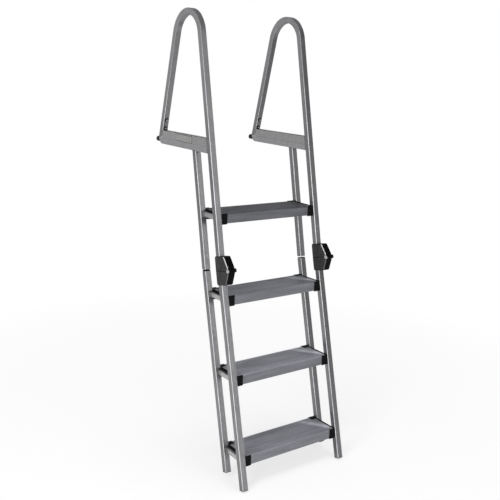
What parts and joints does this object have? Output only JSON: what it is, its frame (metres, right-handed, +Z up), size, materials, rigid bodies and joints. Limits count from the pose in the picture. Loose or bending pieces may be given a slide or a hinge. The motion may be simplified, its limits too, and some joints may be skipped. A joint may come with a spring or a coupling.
{
  "type": "dock ladder",
  "caption": "Aluminium dock ladder: bent hoop handrails, deck arms, ribbed treads and a hinged lower section that folds up clear of the water.",
  "frame": {"origin": "middle of the flat underside of the left arm, where it rests on the dock deck", "axes": "+Z up, +X from the left side frame to the right one as the climber sees them, +Y from the water over the dock"},
  "size_m": [0.5207, 0.7622, 1.821],
  "materials": {
    "tube_aluminium": "satin",
    "tread_aluminium": "satin",
    "cap_plastic": "matt",
    "hinge_plastic": "glossy",
    "plug_plastic": "matt",
    "bumper_rubber": "matt",
    "pin_steel": "polished"
  },
  "bodies": {
    "upper_section": {"left_arm_bar": "tube_aluminium", "left_bumper": "bumper_rubber", "left_handrail": "tube_aluminium", "left_hinge_pin": "pin_steel", "left_hinge_upper": "hinge_plastic", "left_rear_rail_upper": "tube_aluminium", "right_arm_bar": "tube_aluminium", "right_bumper": "bumper_rubber", "right_handrail": "tube_aluminium", "right_hinge_pin": "pin_steel", "right_hinge_upper": "hinge_plastic", "right_rear_rail_upper": "tube_aluminium", "tread_1": "tread_aluminium", "tread_1_bar_left": "tube_aluminium", "tread_1_bar_right": "tube_aluminium", "tread_1_cap_left": "cap_plastic", "tread_1_cap_right": "cap_plastic"},
    "lower_section": {"left_front_foot_plug": "plug_plastic", "left_front_rail_lower": "tube_aluminium", "left_hinge_lower": "hinge_plastic", "left_rear_foot_plug": "plug_plastic", "left_rear_rail_lower": "tube_aluminium", "right_front_foot_plug": "plug_plastic", "right_front_rail_lower": "tube_aluminium", "right_hinge_lower": "hinge_plastic", "right_rear_foot_plug": "plug_plastic", "right_rear_rail_lower": "tube_aluminium", "tread_2": "tread_aluminium", "tread_2_bar_left": "tube_aluminium", "tread_2_bar_right": "tube_aluminium", "tread_2_cap_left": "cap_plastic", "tread_2_cap_right": "cap_plastic", "tread_3": "tread_aluminium", "tread_3_bar_left": "tube_aluminium", "tread_3_bar_right": "tube_aluminium", "tread_3_cap_left": "cap_plastic", "tread_3_cap_right": "cap_plastic", "tread_4": "tread_aluminium", "tread_4_bar_left": "tube_aluminium", "tread_4_bar_right": "tube_aluminium", "tread_4_cap_left": "cap_plastic", "tread_4_cap_right": "cap_plastic"}
  },
  "joints": [
    {"name": "fold", "type": "hinge", "parent": "upper_section", "child": "lower_section", "pos_m": [0.2413, -0.36702, -0.42322], "axis": [-1, 0, 0], "range_deg": [0, 185]}
  ]
}
